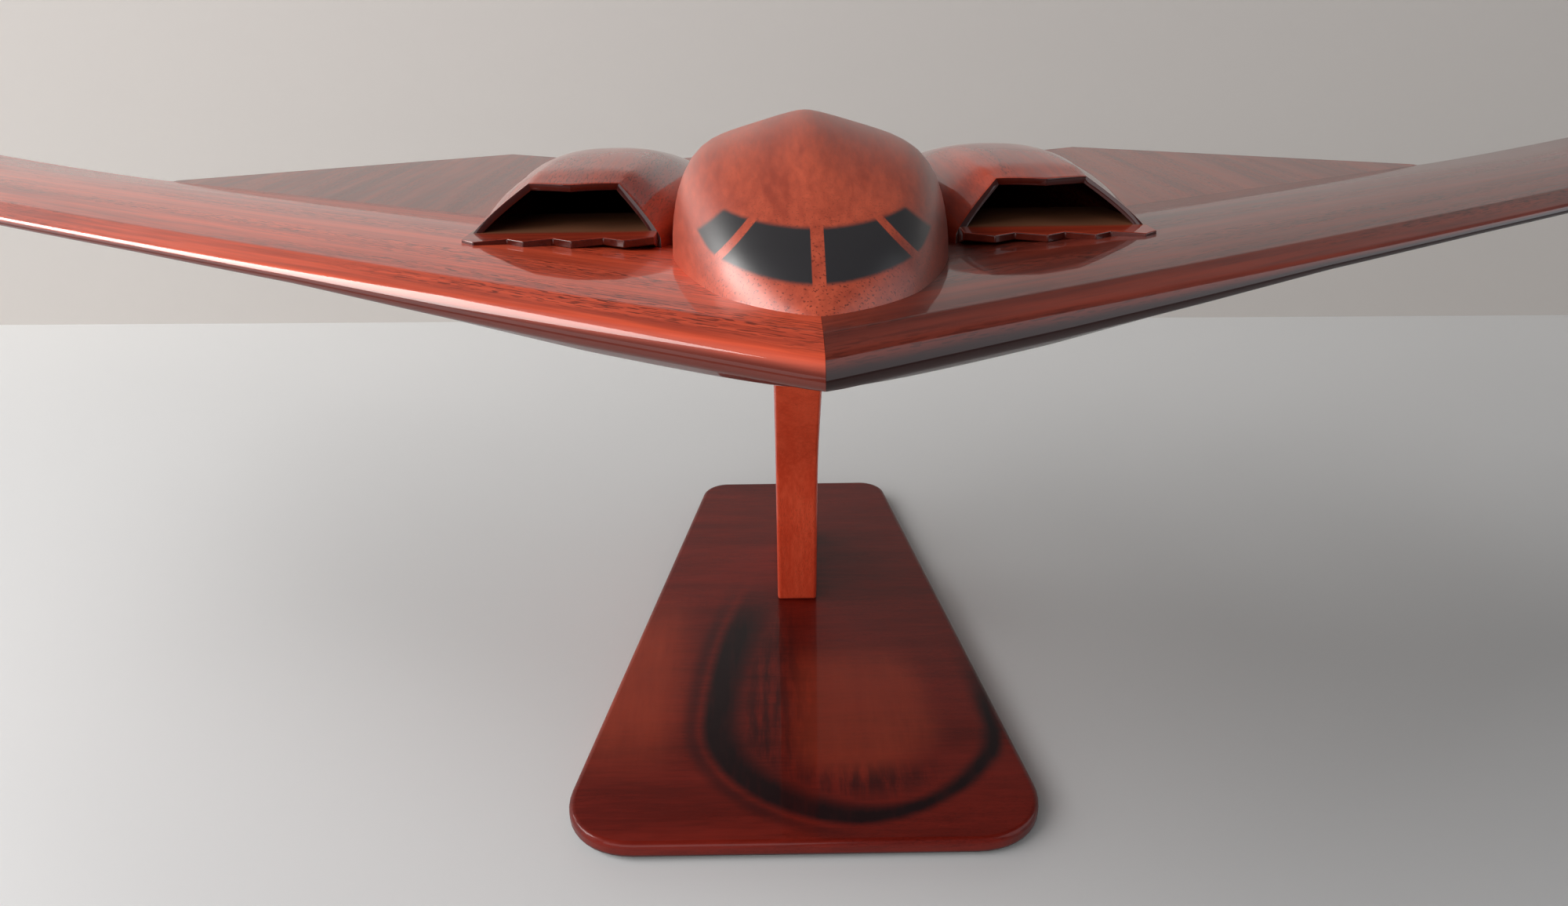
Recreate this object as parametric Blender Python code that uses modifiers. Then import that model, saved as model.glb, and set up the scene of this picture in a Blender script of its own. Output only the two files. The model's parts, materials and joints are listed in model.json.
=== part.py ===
"""Flying-wing aircraft display model in lacquered wood, on a curved post and a tapered base.

World frame: metres, +Z up, the nose points to -Y, the span lies along X. The origin is the centre of
the felt pad's underside. The airframe is drawn in its own frame, in millimetres, with its origin at
the nose tip, x to the right, y aft and z up, and is then tilted nose-up about the peg's seat.
"""

import math

import bmesh
import bpy
from mathutils import Matrix, Vector

MM = 0.001
GAP = 0.3  # clearance kept between two touching pieces

# Airframe plan
HALF_SPAN = 262.0
SWEEP = math.tan(math.radians(33.0))
PLANK = 65.5  # fore-and-aft width of the leading plank of each wing
NOTCH_X = 120.0
AFT_POINT_X = 62.0
INNER_NOTCH_X = 34.0
TIP_RISE = 7.4
DECK_Z = -3.9
EDGE_THICK = 1.0
CHIN_BACK = 3.5  # how far the blunt chin stands behind the nose
BELLY_Z = -12.0

# Attitude and seat of the airframe on the peg
NOSE_UP = math.radians(5.75)
SEAT = Vector((0.0, 116.0, BELLY_Z))
SEAT_WORLD = Vector((0.0, -44.2, 113.5))

# Cockpit hump
HUMP_FOOT_Y = 10.0
HUMP_CREST_Y = 58.0
HUMP_END_Y = 166.0
HUMP_CREST_Z = 14.2
HUMP_HALF = 15.8

# Engine nacelles
MOUTH_Y = 52.0
MOUTH_X = 27.8
MOUTH_HALF = 10.3
WALL = 1.1
DUCT_DEPTH = 26.0

# Stand
BASE_LENGTH = 148.0
BASE_FRONT = 99.0
BASE_REAR = 51.6
BASE_THICK = 3.6
FELT_THICK = 0.6
FELT_INSET = 4.0
POST_WIDTH = 9.8
PEG_R = 2.0
PEG_PROUD = 6.0
PEG_SUNK = 10.0
HOLE_R = 2.15
SCREW_YS = (15.0, 27.0)
SCREW_R = 1.3
SCREW_HEAD_R = 2.8
SCREW_LENGTH = 14.0

BASE_BOTTOM = FELT_THICK + GAP
BASE_TOP = BASE_BOTTOM + BASE_THICK
POST_BOTTOM = BASE_TOP + GAP


# ---------------------------------------------------------------- scene helpers

def clear_scene():
    for item in list(bpy.data.objects):
        bpy.data.objects.remove(item, do_unlink=True)


def collection(name):
    group = bpy.data.collections.new(name)
    bpy.context.scene.collection.children.link(group)
    return group


def material(name, colour, roughness, metallic=0.0):
    mat = bpy.data.materials.new(name)
    mat.use_nodes = True
    shader = mat.node_tree.nodes["Principled BSDF"]
    shader.inputs["Base Color"].default_value = (*colour, 1.0)
    shader.inputs["Roughness"].default_value = roughness
    shader.inputs["Metallic"].default_value = metallic
    mat.diffuse_color = (*colour, 1.0)
    return mat


def add_object(name, mesh, group, mat=None):
    item = bpy.data.objects.new(name, mesh)
    group.objects.link(item)
    if mat is not None:
        mesh.materials.clear()
        mesh.materials.append(mat)
    return item


def as_cutter(item):
    item.hide_render = True
    item.display_type = 'WIRE'
    return item


def cut(item, cutter):
    mod = item.modifiers.new("cut " + cutter.name, 'BOOLEAN')
    mod.operation = 'DIFFERENCE'
    mod.solver = 'EXACT'
    mod.object = cutter


def shade(item, degrees=30.0):
    item.data.shade_smooth()
    item.data.set_sharp_from_angle(angle=math.radians(degrees))


def airframe_point(x, y, z):
    """An airframe point in the seat's frame, in metres."""
    return (Vector((x, y, z)) - SEAT) * MM


def tilted(x, y, z):
    """An airframe point in the world, in millimetres."""
    return Matrix.Rotation(-NOSE_UP, 3, 'X') @ (Vector((x, y, z)) - SEAT) + SEAT_WORLD


def loft(name, rings, group, mat=None):
    """A closed solid through rings of equal count, capped at both ends."""
    bm = bmesh.new()
    loops = [[bm.verts.new(p) for p in ring] for ring in rings]
    count = len(rings[0])
    for near, far in zip(loops, loops[1:]):
        for i in range(count):
            j = (i + 1) % count
            bm.faces.new((near[i], near[j], far[j], far[i]))
    bm.faces.new(loops[0])
    bm.faces.new(loops[-1])
    bmesh.ops.triangulate(bm, faces=bm.faces)
    bmesh.ops.recalc_face_normals(bm, faces=bm.faces)
    mesh = bpy.data.meshes.new(name)
    bm.to_mesh(mesh)
    bm.free()
    return add_object(name, mesh, group, mat)


def plate(name, splines, thickness, group, mat=None):
    """A flat outline, in metres, made thick about its plane. Each spline is (kind, points)."""
    curve = bpy.data.curves.new(name, 'CURVE')
    curve.dimensions = '2D'
    curve.fill_mode = 'BOTH'
    curve.extrude = thickness / 2
    curve.resolution_u = 8
    for kind, points in splines:
        spline = curve.splines.new(kind)
        if kind == 'POLY':
            spline.points.add(len(points) - 1)
            for spot, (u, v) in zip(spline.points, points):
                spot.co = (u, v, 0.0, 1.0)
        else:
            spline.bezier_points.add(len(points) - 1)
            for spot, (u, v, handle) in zip(spline.bezier_points, points):
                spot.co = (u, v, 0.0)
                spot.handle_left_type = spot.handle_right_type = handle
        spline.use_cyclic_u = True
    guide = bpy.data.objects.new(name + "_outline", curve)
    group.objects.link(guide)
    bpy.context.view_layer.update()
    mesh = bpy.data.meshes.new_from_object(guide.evaluated_get(bpy.context.evaluated_depsgraph_get()))
    bpy.data.objects.remove(guide, do_unlink=True)
    bpy.data.curves.remove(curve)
    bm = bmesh.new()
    bm.from_mesh(mesh)
    bmesh.ops.remove_doubles(bm, verts=bm.verts, dist=1e-6)
    bmesh.ops.recalc_face_normals(bm, faces=bm.faces)
    bm.to_mesh(mesh)
    bm.free()
    mesh.name = name
    return add_object(name, mesh, group, mat)


def turned(name, profile, steps, group, mat=None):
    """A solid turned about Z from a profile of (radius, height), in metres, top to bottom."""
    mesh = bpy.data.meshes.new(name)
    mesh.from_pydata([(r, 0.0, z) for r, z in profile], [(i, i + 1) for i in range(len(profile) - 1)], [])
    item = add_object(name, mesh, group, mat)
    mod = item.modifiers.new("turn", 'SCREW')
    mod.steps = mod.render_steps = steps
    mod.use_merge_vertices = True
    mod.merge_threshold = 1e-5
    mod.use_smooth_shade = True
    return item


def ease(value, knots):
    """Straight-line interpolation through (position, value) knots."""
    for (a, fa), (b, fb) in zip(knots, knots[1:]):
        if value <= b:
            return fa + (fb - fa) * max(0.0, value - a) / (b - a)
    return knots[-1][1]


# ---------------------------------------------------------------- airframe surfaces

def leading_y(x):
    return SWEEP * abs(x)


def outer_trailing_y(x):
    return PLANK + SWEEP * abs(x)


def tip_edge_y(x):
    return 2 * SWEEP * HALF_SPAN - SWEEP * abs(x)


def inner_trailing_y(x):
    """The saw-toothed rear edge between the two outer notches."""
    x = abs(x)
    notch_y = outer_trailing_y(NOTCH_X)
    aft_y = notch_y + SWEEP * (NOTCH_X - AFT_POINT_X)
    inner_y = aft_y - SWEEP * (AFT_POINT_X - INNER_NOTCH_X)
    if x >= AFT_POINT_X:
        return notch_y + SWEEP * (NOTCH_X - x)
    if x >= INNER_NOTCH_X:
        return aft_y - SWEEP * (AFT_POINT_X - x)
    return inner_y + SWEEP * (INNER_NOTCH_X - x)


def leading_z(x):
    return TIP_RISE * (x / HALF_SPAN) ** 2


def trailing_z(x):
    x = abs(x)
    if x <= NOTCH_X:
        return DECK_Z
    return DECK_Z + TIP_RISE * ((x - NOTCH_X) / (HALF_SPAN - NOTCH_X)) ** 1.5


def keel_z(x):
    """Underside height at the plank's rear edge."""
    return ease(abs(x), ((15, BELLY_Z), (34, -10.2), (62, -7.6), (NOTCH_X, DECK_Z - EDGE_THICK)))


CAMBER = ((0, 0), (2.5, 0.58), (5.5, 1.28), (12, 1.75), (20, 2.1), (30, 2.1), (40, 1.8), (52, 1.0),
          (PLANK, 0))


def plank_top(x, c, ratio=1.0):
    """Height of the plank's upper face at c behind the leading edge."""
    line = leading_z(x) + (trailing_z(x) - leading_z(x)) * c / PLANK
    return line + ease(c / ratio, CAMBER) * ratio * ease(abs(x), ((120, 1.0), (262, 0.75)))


def plank_ring(x, sign, lift=0.0):
    """One fore-and-aft section of a wing plank, from the leading edge over the top and back below."""
    chord = min(PLANK, tip_edge_y(x) - leading_y(x))
    ratio = chord / PLANK
    front_y, front_z = leading_y(x), leading_z(x)
    rear_z = keel_z(x) if x < NOTCH_X else trailing_z(x) - EDGE_THICK * max(ratio, 0.3)
    bevel = ease(x, ((0, 4.5), (22, 4.1), (38, 3.3), (55, 2.2), (80, 1.8), (262, 1.5))) * ratio
    low, nose = front_z - bevel, 0.42 * bevel
    belly = ease(x, ((15, -10.6), (34, -8.8), (62, -6.2), (120, -4.2), (262, 2.6)))
    if x < NOTCH_X:
        late, mid = rear_z + 0.35 * (belly - rear_z), 0.62 * low + 0.38 * min(belly, rear_z)
    else:
        late, mid = 0.4 * low + 0.6 * rear_z - 0.4, 0.8 * low + 0.2 * rear_z - 0.5
    ring = [(front_y, front_z - nose), (front_y + 0.29 * nose, front_z - 0.3 * nose)]
    for c, _ in CAMBER[1:]:
        ring.append((front_y + c * ratio, plank_top(x, c * ratio, ratio)))
    for c, z in ((PLANK, rear_z), (42, late), (16, mid), (4.5, low), (2, front_z - 0.62 * bevel)):
        back = math.hypot(front_y, CHIN_BACK * min(1.0, c / 4.5))
        ring.append((back + (front_y + chord - back) * c / PLANK, z))
    ring.append((front_y + 0.12 * nose, front_z - 1.28 * nose))
    return [airframe_point(sign * x, y, z + lift) for y, z in ring]


WING_STATIONS = (GAP / 2, 8, 15, 22, 30, 38, 46, 55, 62, 72, 84, 100, NOTCH_X, 135, 155, 175, 195, 211.6,
                 222, 234, 245, 254, 260)


def make_wing(name, sign, group, mat):
    rings = [plank_ring(x, sign) for x in WING_STATIONS]
    item = loft(name, rings, group, mat)
    shade(item, 25)
    return item


def deck_ring(x):
    """One fore-and-aft section of the rear body, behind the planks' V-shaped joint."""
    front = outer_trailing_y(x) + GAP
    rear = inner_trailing_y(x)
    keel = keel_z(x)
    edge = DECK_Z - EDGE_THICK
    flat_end = max(front + 0.3 * (rear - front), min(130.0, rear - 0.35 * (rear - front)))
    near = front + 0.5 * (flat_end - front)
    late = flat_end + 0.55 * (rear - flat_end)
    profile = [
        (front, DECK_Z), ((front + rear) / 2, DECK_Z), (rear, DECK_Z), (rear, edge),
        (late, edge + 0.55 * (keel - edge)), (flat_end, keel), (near, keel), (front, keel),
    ]
    return [airframe_point(x, y, z) for y, z in profile]


def make_rear_body(group, mat, cutters):
    half = (0, 8, 15, 24, INNER_NOTCH_X, 48, AFT_POINT_X, 76, 92, 106, 118)
    stations = [-x for x in reversed(half[1:])] + list(half)
    item = loft("rear_body", [deck_ring(x) for x in stations], group, mat)
    depth = PEG_PROUD + 0.6
    socket = turned("peg_socket_cutter", [
        (0, depth * MM), (HOLE_R * MM, depth * MM), (HOLE_R * MM, -MM), (0, -MM)], 32, cutters)
    as_cutter(socket)
    cut(item, socket)
    shade(item, 25)
    return item, socket


def make_airframe_cutter(group):
    """The planks and the rear body as one solid, raised by the gap, to fit what stands on them."""
    rings = []
    for x in (-60, -48, -38, -30, -22, -15, -8, 0, 8, 15, 22, 30, 38, 48, 60):
        top = [(leading_y(x) + c, plank_top(abs(x), c) + GAP) for c, _ in CAMBER]
        top += [(195.0, DECK_Z + GAP), (195.0, -30.0), (leading_y(x), -30.0)]
        rings.append([airframe_point(x, y, z) for y, z in top])
    return as_cutter(loft("airframe_cutter", rings, group))


# ---------------------------------------------------------------- cockpit hump

def hump_half_width(y):
    if y < 50:
        u = min(1.0, (50 - y) / 40)
        return HUMP_HALF * math.sqrt(max(0.0, 1 - u ** 1.65))
    return ease(y, ((50, HUMP_HALF), (80, HUMP_HALF), (105, 14.8), (130, 11.5), (150, 7.2), (166, 3.0)))


def hump_crest(y):
    if y < HUMP_CREST_Y:
        u = (HUMP_CREST_Y - y) / (HUMP_CREST_Y - HUMP_FOOT_Y)
        return 0.5 + (HUMP_CREST_Z - 0.5) * (1 - u ** 2.2)
    return HUMP_CREST_Z - 0.0151 * (y - HUMP_CREST_Y) ** 1.508


def hump_ring(y, grow=0.0):
    """One cross-section: upright flanks, a shoulder, and a soft gable up to the crest."""
    width = hump_half_width(y) + grow
    crest = hump_crest(y) + grow
    foot = -8.0
    sharp = ease(y, ((10, 3.0), (30, 6.0), (60, 12.0), (110, 8.0), (166, 4.0)))
    gable = ease(y, ((10, 0.10), (30, 0.22), (60, 0.36), (166, 0.36)))
    spots = (1.0, 0.985, 0.95, 0.9, 0.8, 0.65, 0.45, 0.22, 0.0)
    side = []
    for s in spots:
        ridge = 1 - gable * (math.sqrt(s * s + 0.01) - 0.1)
        side.append((s * width, crest * ridge * math.sqrt(max(0.0, 1 - s ** sharp))))
    level = min(0.0, crest - 6.0)
    side = [(x, level + (crest - level) * (z / crest if crest else 0)) for x, z in side]
    ring = [(width, foot)] + side + [(-x, z) for x, z in reversed(side[:-1])] + [(-width, foot)]
    return [airframe_point(x, y, z) for x, z in ring]


HUMP_STATIONS = (10.4, 11.5, 13.5, 16, 19, 23, 28, 34, 41, 49, 58, 68, 80, 94, 108, 122, 136, 150,
                 160, HUMP_END_Y)


def make_hump(group, mat, airframe):
    item = loft("cockpit_hump", [hump_ring(y) for y in HUMP_STATIONS], group, mat)
    cut(item, airframe)
    shade(item, 25)
    return item


# ---------------------------------------------------------------- nacelles and intake lips

NACELLE_SPOTS = (1.0, 0.9, 0.78, 0.64, 0.52, 0.43, 0.2, 0.0)
OUTER_CORNER = 0.43  # share of the half width where the mouth's slanting side meets its top
INNER_CORNER = 0.52


def arch(s, roundness, corner):
    """Height share of the nacelle's arch at share s of its half width."""
    straight = min(1.0, (1 - s) / (1 - corner))
    curved = max(0.0, 1 - s ** 2.6) ** 0.6
    return (1 - roundness) * straight + roundness * curved


def nacelle_ring(y, sign, inner=0.0):
    """One cross-section of a nacelle; inner shrinks it to the duct inside."""
    inboard = ease(y, ((52, MOUTH_HALF), (66, 11.6), (90, 12.2), (120, 11.0), (152, 8.0))) - inner
    outboard = ease(y, ((52, MOUTH_HALF + 2.2), (66, 13.6), (90, 13.4), (120, 11.4), (152, 8.0))) - inner
    centre = ease(y, ((52, MOUTH_X), (70, 27.0), (110, 27.0), (152, 28.0)))
    crown = ease(y, ((52, 6.8), (62, 7.6), (72, 7.8), (84, 7.4), (100, 5.6), (125, 1.0), (152, -3.4)))
    crown -= inner
    roundness = ease(y, ((52, 0.3), (64, 0.7), (80, 1.0), (152, 1.0)))
    lead = ease(y, ((52, 1.0), (62, 0.0), (152, 0.0)))
    low = min(0.4, crown - 4.0)
    floor = -9.0 + inner

    def spot(s, half, corner):
        saw = 2.6 * (1 - abs(s - corner) / (corner if s < corner else 1 - corner))
        return s * half, low + (crown - low) * arch(s, roundness, corner), y + lead * saw

    outer_side = [spot(s, outboard, OUTER_CORNER) for s in NACELLE_SPOTS]
    inner_side = [spot(s, inboard, INNER_CORNER) for s in reversed(NACELLE_SPOTS[:-1])]
    ring = [(outboard, floor, y)] + outer_side + [(-x, z, v) for x, z, v in inner_side]
    ring.append((-inboard, floor, y))
    return [airframe_point(sign * (centre + x), v, z) for x, z, v in ring]


def make_nacelle(name, sign, group, mat, airframe, hump):
    outer = [152, 138, 125, 112, 100, 90, 80, 72, 66, 62, 57, MOUTH_Y]
    duct = [MOUTH_Y, 57, 62, 68, MOUTH_Y + DUCT_DEPTH]
    rings = [nacelle_ring(y, sign) for y in outer] + [nacelle_ring(y, sign, WALL) for y in duct]
    item = loft(name, rings, group, mat)
    cut(item, airframe)
    cut(item, hump)
    shade(item, 25)
    return item


def make_lip(name, sign, group, mat, airframe):
    """The serrated plate across the floor of an intake mouth."""
    teeth = (40.2, 38.4, 34.9, 32.7, 29.6, 27.2, 23.8, 21.2, 17.9)
    bow = [0.4 * (1 - ((x - 29.0) / 11.2) ** 2) for x in teeth]
    front = [(x, (46.7 if i % 2 else 48.4) - bow[i]) for i, x in enumerate(teeth)]
    outline = [(17.9, 51.6), (40.2, 51.6)] + front
    points = [tuple(airframe_point(sign * x, y, 0.0)[:2]) for x, y in outline]
    item = plate(name, [('POLY', points)], 4.2 * MM, group, mat)
    item.location.z = (1.3 - 2.1 - SEAT.z) * MM
    cut(item, airframe)
    return item


# ---------------------------------------------------------------- stand

def rounded_trapezium(inset):
    """The base's plan with rounded corners, in metres, drawn in from its edge by inset."""
    half_l = BASE_LENGTH / 2
    corners = [
        (Vector((-BASE_FRONT / 2, -half_l)), 14.0), (Vector((BASE_FRONT / 2, -half_l)), 14.0),
        (Vector((BASE_REAR / 2, half_l)), 7.0), (Vector((-BASE_REAR / 2, half_l)), 7.0),
    ]
    points = []
    for i, (corner, radius) in enumerate(corners):
        coming = (corner - corners[i - 1][0]).normalized()
        going = (corners[(i + 1) % 4][0] - corner).normalized()
        out_a, out_b = Vector((coming.y, -coming.x)), Vector((going.y, -going.x))
        centre = corner - (out_a + out_b) * radius / (1 + out_a.dot(out_b))
        start = math.atan2(out_a.y, out_a.x)
        turn = (math.atan2(out_b.y, out_b.x) - start) % (2 * math.pi)
        for k in range(9):
            angle = start + turn * k / 8
            spot = centre + Vector((math.cos(angle), math.sin(angle))) * (radius - inset)
            points.append((spot.x * MM, spot.y * MM))
    return points


def screw_cutter(y, group):
    """Clearance round one countersunk screw, from below the base up into the post."""
    r, head, top = SCREW_R + GAP, SCREW_HEAD_R + GAP, BASE_BOTTOM + SCREW_LENGTH + 0.6
    item = turned("screw_cutter_%d" % y, [
        (0, top * MM), (r * MM, top * MM), (r * MM, (BASE_BOTTOM + 1.7) * MM),
        (head * MM, (BASE_BOTTOM + 0.2) * MM), (head * MM, (BASE_BOTTOM - 1) * MM),
        (0, (BASE_BOTTOM - 1) * MM)],
        20, group)
    item.location.y = y * MM
    return as_cutter(item)


def make_base(group, mat, holes):
    item = plate("stand_base", [('POLY', rounded_trapezium(0.0))], BASE_THICK * MM, group, mat)
    item.location.z = (BASE_BOTTOM + BASE_THICK / 2) * MM
    soft = item.modifiers.new("soft edges", 'BEVEL')
    soft.width = 1.1 * MM
    soft.segments = 3
    soft.limit_method = 'ANGLE'
    soft.angle_limit = math.radians(50)
    for hole in holes:
        cut(item, hole)
    shade(item)
    return item


def make_felt(group, mat):
    item = plate("felt_pad", [('POLY', rounded_trapezium(FELT_INSET))], FELT_THICK * MM, group, mat)
    item.location.z = FELT_THICK / 2 * MM
    return item


def make_post(group, mat, holes):
    """A flat curved strut: upright above the base, leaning forward to meet the belly."""
    front_top = tilted(0, 100, BELLY_Z - GAP)
    back_top = tilted(0, 124, BELLY_Z - GAP)
    side = [
        (9.8, POST_BOTTOM, 'VECTOR'), (5.0, 27, 'AUTO'), (0.0, 47, 'AUTO'), (-15.0, 66.5, 'AUTO'),
        (-33.0, 86, 'AUTO'), (front_top.y, front_top.z, 'VECTOR'), (back_top.y, back_top.z, 'VECTOR'),
        (-16.0, 93, 'AUTO'), (4.0, 71, 'AUTO'), (19.0, 48, 'AUTO'), (28.0, 26, 'AUTO'),
        (44.0, POST_BOTTOM, 'VECTOR'),
    ]
    points = [(y * MM, z * MM, handle) for y, z, handle in side]
    item = plate("stand_post", [('BEZIER', points)], POST_WIDTH * MM, group, mat)
    item.rotation_euler = (math.pi / 2, 0.0, math.pi / 2)
    for hole in holes:
        cut(item, hole)
    shade(item, 35)
    return item


def make_screw(name, y, group, mat):
    tip = SCREW_LENGTH
    profile = [
        (0, tip), (0.5, tip - 0.6), (SCREW_R, tip - 2.6), (SCREW_R, 1.8), (SCREW_HEAD_R, 0.4),
        (SCREW_HEAD_R, 0.0), (0.9, 0.0), (0.5, 0.6), (0, 0.6),
    ]
    item = turned(name, [(r * MM, z * MM) for r, z in profile], 20, group, mat)
    item.location = (0.0, y * MM, (BASE_BOTTOM + 0.1) * MM)
    return item


def make_peg(group, mat):
    top, low = PEG_PROUD, -PEG_SUNK
    profile = [
        (0, top), (PEG_R - 0.4, top), (PEG_R, top - 0.5), (PEG_R, low + 0.5), (PEG_R - 0.4, low), (0, low)]
    return turned("stand_peg", [(r * MM, z * MM) for r, z in profile], 32, group, mat)


def main():
    clear_scene()
    parts = collection("flying_wing_display_model")
    cutters = collection("cutters")

    mahogany = material("wing_lacquer", (0.24, 0.055, 0.028), 0.12)
    body_wood = material("rear_body_lacquer", (0.16, 0.045, 0.028), 0.14)
    hump_wood = material("hump_lacquer", (0.34, 0.085, 0.035), 0.14)
    cowl_wood = material("nacelle_lacquer", (0.22, 0.05, 0.026), 0.12)
    lip_wood = material("lip_lacquer", (0.16, 0.03, 0.02), 0.14)
    base_wood = material("base_lacquer", (0.12, 0.022, 0.012), 0.1)
    post_wood = material("post_lacquer", (0.38, 0.085, 0.02), 0.2)
    steel = material("peg_steel", (0.55, 0.55, 0.56), 0.3, 1.0)
    zinc = material("screw_zinc", (0.6, 0.58, 0.5), 0.35, 1.0)
    felt = material("felt_green", (0.03, 0.06, 0.035), 0.95)

    swivel = bpy.data.objects.new("peg_axis", None)
    swivel.location = SEAT_WORLD * MM
    swivel.rotation_euler.x = -NOSE_UP
    parts.objects.link(swivel)

    airframe = make_airframe_cutter(cutters)
    hump_room = as_cutter(loft("hump_cutter", [hump_ring(y, GAP) for y in HUMP_STATIONS], cutters))
    rear, socket = make_rear_body(parts, body_wood, cutters)
    pieces = [
        make_wing("wing_left", -1, parts, mahogany),
        make_wing("wing_right", 1, parts, mahogany),
        rear,
        make_hump(parts, hump_wood, airframe),
        make_nacelle("nacelle_left", -1, parts, cowl_wood, airframe, hump_room),
        make_nacelle("nacelle_right", 1, parts, cowl_wood, airframe, hump_room),
        make_lip("intake_lip_left", -1, parts, lip_wood, airframe),
        make_lip("intake_lip_right", 1, parts, lip_wood, airframe),
        make_peg(parts, steel),
        airframe, hump_room, socket,
    ]
    peg_room = turned("peg_room_cutter", [
        (0, 4 * MM), (HOLE_R * MM, 4 * MM), (HOLE_R * MM, -(PEG_SUNK + 0.6) * MM),
        (0, -(PEG_SUNK + 0.6) * MM)], 32, cutters)
    as_cutter(peg_room)
    pieces.append(peg_room)
    for piece in pieces:
        piece.parent = swivel

    screws = [screw_cutter(y, cutters) for y in SCREW_YS]
    make_base(parts, base_wood, screws)
    make_post(parts, post_wood, screws + [peg_room])
    make_screw("base_screw_front", SCREW_YS[0], parts, zinc)
    make_screw("base_screw_rear", SCREW_YS[1], parts, zinc)
    make_felt(parts, felt)


main()
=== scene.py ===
"""Lacquered mahogany model of a flying-wing aircraft on its curved post and tapered base."""

import json
import math

import bmesh
import bpy
from bpy.props import FloatProperty, FloatVectorProperty, PointerProperty
from mathutils import Matrix, Vector


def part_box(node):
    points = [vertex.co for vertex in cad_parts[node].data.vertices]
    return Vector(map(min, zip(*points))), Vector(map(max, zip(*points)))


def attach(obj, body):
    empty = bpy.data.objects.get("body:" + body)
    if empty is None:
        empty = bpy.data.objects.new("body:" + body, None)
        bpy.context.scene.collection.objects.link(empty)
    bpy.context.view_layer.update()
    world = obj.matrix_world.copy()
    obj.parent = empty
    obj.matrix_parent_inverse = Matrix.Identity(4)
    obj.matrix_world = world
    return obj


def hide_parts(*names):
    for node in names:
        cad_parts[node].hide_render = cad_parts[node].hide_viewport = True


bl_info = {
    "name": "Flying-wing desk model",
    "version": (1, 0, 0),
    "blender": (4, 5, 0),
    "location": "3D View > Sidebar > Desk model",
    "description": "Builds a lacquered wooden flying-wing aircraft on a curved post and a tapered base",
    "category": "Object",
}

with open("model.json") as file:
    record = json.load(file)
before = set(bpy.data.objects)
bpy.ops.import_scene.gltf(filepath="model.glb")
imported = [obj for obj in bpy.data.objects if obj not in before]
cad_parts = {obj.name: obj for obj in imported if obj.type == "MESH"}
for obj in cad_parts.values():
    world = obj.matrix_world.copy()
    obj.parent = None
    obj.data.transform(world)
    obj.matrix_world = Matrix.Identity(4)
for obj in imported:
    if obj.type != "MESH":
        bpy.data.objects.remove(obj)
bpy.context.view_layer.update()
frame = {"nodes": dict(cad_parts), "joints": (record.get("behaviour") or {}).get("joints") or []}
SWIVEL = {joint["name"]: joint for joint in frame["joints"]}["aircraft_swivel"]
PEG_SEAT = Vector(SWIVEL["pos_m"])
PEG_AXIS = Vector(SWIVEL["axis"]).normalized()
NOSE_UP = math.atan2(PEG_AXIS.y, PEG_AXIS.z)
MM = 0.001
SKEW = Vector((1.0, 0.618, 0.377))  # corners and faces are put in order along this direction


# ---------------------------------------------------------------- sizes and colours

def length(name, default, description):
    return FloatProperty(name=name, default=default, description=description, unit='LENGTH',
                         subtype='DISTANCE', precision=4)


def colour(name, default, description):
    return FloatVectorProperty(name=name, default=default, description=description, subtype='COLOR',
                               size=3, min=0.0, max=1.0)


class AirframeSizes(bpy.types.PropertyGroup):
    """Sizes of the aircraft, measured in its own frame from the nose tip."""
    half_span: length("Half span", 0.262, "From the centre line to a wing's outermost point")
    sweep: FloatProperty(name="Sweep", default=math.radians(33.0), subtype='ANGLE',
                         description="Angle of every leading and trailing edge to the span")
    plank: length("Plank width", 0.0655, "Fore-and-aft width of each wing plank")
    notch: length("Outer notch", 0.120, "Centre line to the notch in the trailing edge")
    aft_point: length("Aft point", 0.062, "Centre line to the aft point behind a nacelle")
    inner_notch: length("Inner notch", 0.034, "Centre line to the inner notch")
    tip_rise: length("Tip rise", 0.0074, "Upward curve of each wing at its tip")
    deck_drop: length("Deck drop", 0.0039, "Rear deck below the leading edge's level")
    seat_y: length("Seat", 0.116, "Nose to the peg's axis")
    belly: length("Belly depth", 0.012, "Belly seat below the leading edge's level")
    hump_crest: length("Hump crest", 0.0142, "Crest of the cockpit hump above the leading edge")
    hump_half: length("Hump half width", 0.0158, "Half the hump's greatest width")
    mouth_x: length("Intake centre", 0.0278, "Centre line to each intake's centre")
    mouth_half: length("Intake half width", 0.0103, "Half the width of an intake mouth")
    wall: length("Cowl wall", 0.0008, "Thickness of the hollow cowls")


class StandSizes(bpy.types.PropertyGroup):
    """Sizes of the base, post and felt."""
    base_length: length("Base length", 0.148, "Front to back")
    base_front: length("Front width", 0.099, "Before the corners are rounded")
    base_rear: length("Rear width", 0.0516, "Before the corners are rounded")
    front_radius: length("Front corners", 0.014, "Corner radius in plan")
    rear_radius: length("Rear corners", 0.007, "Corner radius in plan")
    edge_round: length("Edge rounding", 0.0012, "Rounding of the base's rims")
    felt_inset: length("Felt inset", 0.004, "Felt pad's edge in from the base's edge")
    post_width: length("Post width", 0.0098, "Thickness of the flat post")
    post_round: length("Post rounding", 0.0008, "Rounding of the post's long edges")


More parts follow.
